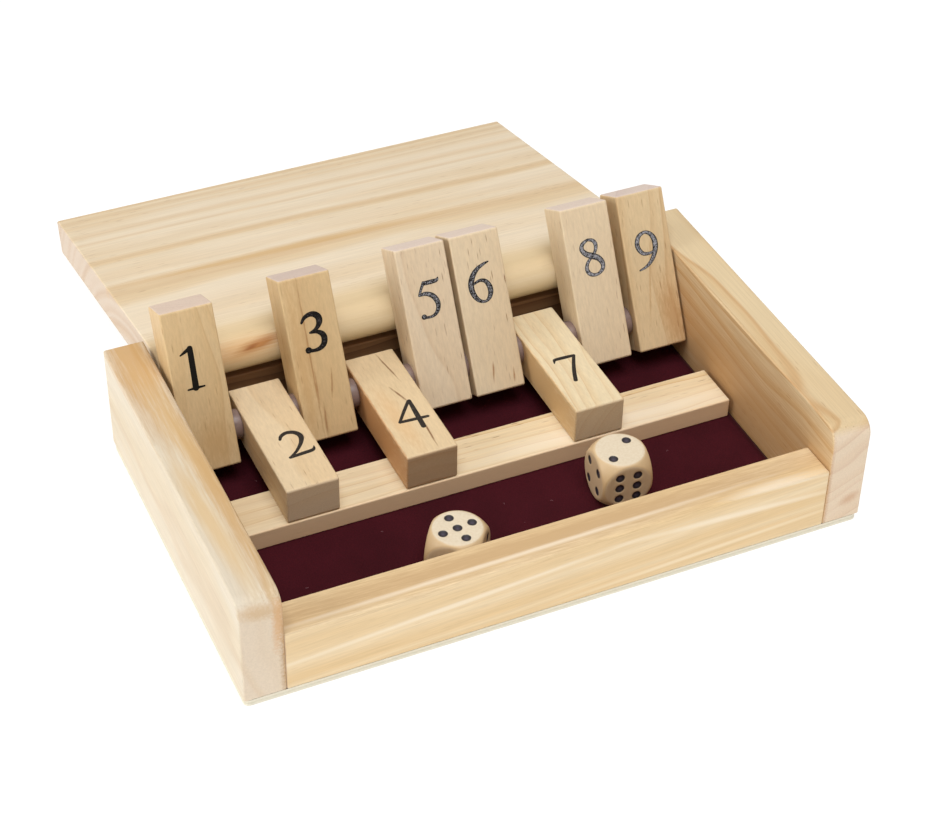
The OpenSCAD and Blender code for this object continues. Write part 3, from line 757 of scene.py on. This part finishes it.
for n, strokes in figures.items():
    across_by, foot, turn = figure_places[n]
    c, s = cos(radians(turn)), sin(radians(turn))
    shape = bmesh.new()
    shape.verts.layers.float.new("inside")
    for face_sign in (1, -1):
        # +1 is the front face, whose figure stands towards the free end; -1 is the back face
        hidden = (face_sign == 1) == (tile_lean[n] < 0)

        def put(x, y, z):
            x, y = x * c - (y - turned_at) * s, x * s + (y - turned_at) * c + turned_at
            from_end = hidden_foot[face_sign] if hidden else foot
            if face_sign == 1:
                up_tile, outward = tile_reach - from_end + y, front_out + z
            else:
                up_tile, outward = tile_reach - from_end - y, -back_out - z
            return on_tile(n, across_by + x, up_tile, outward) * mm
        printed(shape, strokes, put, ink_spread.get(n, 1.0))
    mesh = bpy.data.meshes.new(f"number_{n}")
    shaped(shape, mesh)
    mesh.materials.append(black_ink(f"screen_ink_{n}", *inks[n]))
    number = placed(f"tile_{n}_number", mesh)
    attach(number, f"tile_{n}")


# ---------------------------------------------------------------- the lid and its pins
# One planed pine board, 10.5 mm thick, its rear edge turned to a half round.
# It turns on two steel wire pins and lies open, face up, sloping down behind the box.
lid_slope = 11.68  # degrees
lid_ease = 0.5  # mm
sanded("lid", lid_ease, "lid", pine(
    "pine_lid", (radians(lid_slope), 0, radians(0.4)), (62, -28), 4.2, "#ECDFC8", "#E2CCA8", "#DABF98",
    "#B8A9A5", flecks=0.3, contrast=1.0, peak=0.5, sway=1.6, seed=21, marks=[
        ((0, 47.0, 28.0), (150, 13.0, 9.0), (0, 0, 0), "#E0CCA4", 0.75),
        # painted light: a paler band over the underside of the rounded rear edge, which the lamps leave in
        # shade
        ((0, 42.6, 24.5), (150, 2.6, 3.6), (0, 0, 0), "#E9D8B2", 0.7),
        # a knot: the warm wood round it, its streak and its heart
        ((-50.0, 43.2, 28.0), (14.0, 4.5, 4.0), (0, 0, radians(4)), "#D8A566", 0.55),
        ((-44.4, 43.5, 28.6), (8.0, 2.2, 1.5), (0, radians(-7.5), radians(5)), "#B4773B", 0.85),
        ((-47.0, 43.7, 28.2), (2.6, 0.9, 0.55), (0, radians(-9), radians(5)), "#8A4A26", 0.8),
        ((-20, 91, 21.8), (70, 2.8, 4), (radians(-lid_slope), 0, radians(-1)), "#D2AE76", 0.7)]),
    holes=(pin_hole,))

# Drawn steel: fine lines along the wire break up its gloss
wire, tree = finish_tree("drawn_steel_wire")
where = add(tree, "ShaderNodeTexCoord")
drawn = add(tree, "ShaderNodeMapping", {"Vector": where.outputs["Object"], "Scale": (80, 4000, 4000)})
lines = add(tree, "ShaderNodeTexNoise", {"Vector": drawn, "Scale": 1.0, "Detail": 3})
gloss = add(tree, "ShaderNodeMapRange", {"Value": lines, "To Min": 0.28, "To Max": 0.45})
skin = add(tree, "ShaderNodeBsdfPrincipled", {"Base Color": "#A9A7A2", "Metallic": 1.0, "Roughness": gloss})
add(tree, "ShaderNodeOutputMaterial", {"Surface": skin})
for name in ("lid_pin_left", "lid_pin_right"):
    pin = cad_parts[name]
    pin.data.materials.clear()
    pin.data.materials.append(wire)


# ---------------------------------------------------------------- the dice
# Two 14 mm maple dice, sawn square, tumbled until their corners are round, and drilled for their pips.
# The pips are shallow and painted black.
die_half, ball_radius = 7.0, 9.5  # mm
blend_round = 0.45  # mm, how softly the flats run into the round corners
pip_radius, pip_depth = 1.275, 0.35  # mm
pip_bowl = 0.7  # how its depth rises to the rim; 1 is a parabola, and less is a rounder bowl
pip_row, six_column, six_row = 2.95, 2.4, 3.4  # mm, from the middle of a face; the six has its own
far_off = 9.0  # mm from any pip, for a point that has none near it
grid = 40  # squares along each side of each of the six faces
seam = 0.01  # mm, between points that two faces share
dice = {
    # place of the middle in mm, turn in degrees, values of the top, bottom, front, back, left and right
    "die_left": ((-20.2, -30.75, 9.8), -128, (5, 2, 4, 3, 6, 1)),
    "die_right": ((30.2, -19.95, 9.8), -5.5, (2, 5, 6, 1, 4, 3)),
}

maple, tree = finish_tree("tumbled_maple")
where = add(tree, "ShaderNodeTexCoord")
thin = add(tree, "ShaderNodeMapping", {"Vector": where.outputs["Object"], "Scale": (1500, 1500, 70)})
fibre = add(tree, "ShaderNodeTexNoise", {"Vector": thin, "Scale": 1.0, "Detail": 4})
cream = add(tree, "ShaderNodeMix", {0: fibre, 6: "#E9E0CD", 7: "#D6C6AA"}, data_type="RGBA")
# the rounded corners are tanner than the flats
corner = add(tree, "ShaderNodeAttribute", attribute_name="roundness")
round_tint = add(tree, "ShaderNodeMapRange", {"Value": corner.outputs["Fac"], "From Min": 0.35, "From Max": 0.75,
                                           "To Max": 0.75})
cream = add(tree, "ShaderNodeMix", {0: round_tint, 6: cream, 7: "#D3B484"}, data_type="RGBA")
# painted shade: the sides are tanner and darker than the top and bottom, which face the lamp overhead
upright = add(tree, "ShaderNodeSeparateXYZ", {0: where.outputs["Normal"]})
flatness = add(tree, "ShaderNodeMath", {0: upright.outputs["Z"]}, operation="ABSOLUTE")
die_side_shade = add(tree, "ShaderNodeMapRange", {"Value": flatness, "From Min": 0.2, "From Max": 0.8,
                                            "To Min": 0.6, "To Max": 0.0})
cream = add(tree, "ShaderNodeMix", {0: die_side_shade, 6: cream, 7: "#C8A678"}, data_type="RGBA")
# the paint frays along the fibres, pip_distance mm from the middle of its pip
reach = add(tree, "ShaderNodeAttribute", attribute_name="pip_distance")
fray = add(tree, "ShaderNodeMath", {0: fibre, 1: 0.16, 2: reach.outputs["Fac"]}, operation="MULTIPLY_ADD")
painted = add(tree, "ShaderNodeMapRange", {"Value": fray, "From Min": 1.24, "From Max": 1.38,
                                           "To Min": 1.0, "To Max": 0.0})
# painted sheen: each pip is greyer in its middle, where its hollow catches the light
pip_sheen = add(tree, "ShaderNodeMapRange", {"Value": fray, "From Min": 0.25, "From Max": 0.95,
                                          "To Min": 1.0, "To Max": 0.0})
paint = add(tree, "ShaderNodeMix", {0: pip_sheen, 6: "#26242B", 7: "#4A4556"}, data_type="RGBA")
tone = add(tree, "ShaderNodeMix", {0: painted, 6: cream, 7: paint}, data_type="RGBA")
grainy = add(tree, "ShaderNodeBump", {"Height": fibre, "Strength": 0.12, "Distance": 0.08 * mm})
skin = add(tree, "ShaderNodeBsdfPrincipled", {
    "Base Color": tone, "Roughness": 0.42, "IOR": 1.5, "Normal": grainy})
add(tree, "ShaderNodeOutputMaterial", {"Surface": skin})

rising = [(pip_row, pip_row), (-pip_row, -pip_row)]
falling = [(pip_row, -pip_row), (-pip_row, pip_row)]
pip_layouts = {
    1: [(0, 0)], 2: rising, 3: [(0, 0)] + rising, 4: rising + falling, 5: [(0, 0)] + rising + falling,
    6: [(x * six_column, y * six_row) for x in (-1, 1) for y in (-1, 0, 1)]}
face_turns = [(0, 0), (180, 0), (90, 0), (-90, 0), (0, -90), (0, 90)]  # degrees about X, then about Y

for name, (middle, turn, values) in dice.items():
    pips = []
    sides = []
    for (about_x, about_y), value in zip(face_turns, values):
        spin = Matrix.Rotation(radians(about_y), 3, "Y") @ Matrix.Rotation(radians(about_x), 3, "X")
        sides.append(spin)
        for x, y in pip_layouts[value]:
            pips.append((spin @ Vector((x, y, die_half)), spin @ Vector((0, 0, 1))))
    shape = bmesh.new()
    from_pip = shape.verts.layers.float.new("pip_distance")
    roundness = shape.verts.layers.float.new("roundness")
    for spin in sides:
        rows = []
        for i in range(grid + 1):
            row = []
            for j in range(grid + 1):
                # even steps of angle keep the squares alike from the middle of a face to its corners
                u, v = (radians(90 * k / grid - 45) for k in (i, j))
                way = (spin @ Vector((sin(u) / cos(u), sin(v) / cos(v), 1))).normalized()
                flat_out = die_half / max(abs(way.x), abs(way.y), abs(way.z))
                h = max(0.0, min(1.0, 0.5 + 0.5 * (ball_radius - flat_out) / blend_round))
                out = ball_radius * (1 - h) + flat_out * h - blend_round * h * (1 - h)
                point = way * out
                nearest = far_off
                for at, outward in pips:
                    if outward.dot(way) > 0.5:
                        aside = point - at
                        aside -= outward * aside.dot(outward)
                        nearest = min(nearest, aside.length)
                        if aside.length < pip_radius:
                            point = point - outward * pip_depth * (
                                1 - (aside.length / pip_radius) ** 2) ** pip_bowl
                vert = shape.verts.new(point)
                vert[from_pip] = nearest
                vert[roundness] = 1 - h
                row.append(vert)
            rows.append(row)
        for i in range(grid):
            for j in range(grid):
                shape.faces.new((rows[i][j], rows[i + 1][j], rows[i + 1][j + 1], rows[i][j + 1]))
    bmesh.ops.remove_doubles(shape, verts=shape.verts, dist=seam)
    for face in shape.faces:
        face.smooth = True
    mesh = bpy.data.meshes.new(name)
    shaped(shape, mesh)
    mesh.transform(Matrix.Translation(Vector(middle) * mm) @ Matrix.Rotation(radians(turn), 4, "Z")
                   @ Matrix.Scale(mm, 4))
    mesh.materials.append(maple)
    die = placed(name + "_tumbled", mesh)
    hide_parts(name)
    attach(die, name)
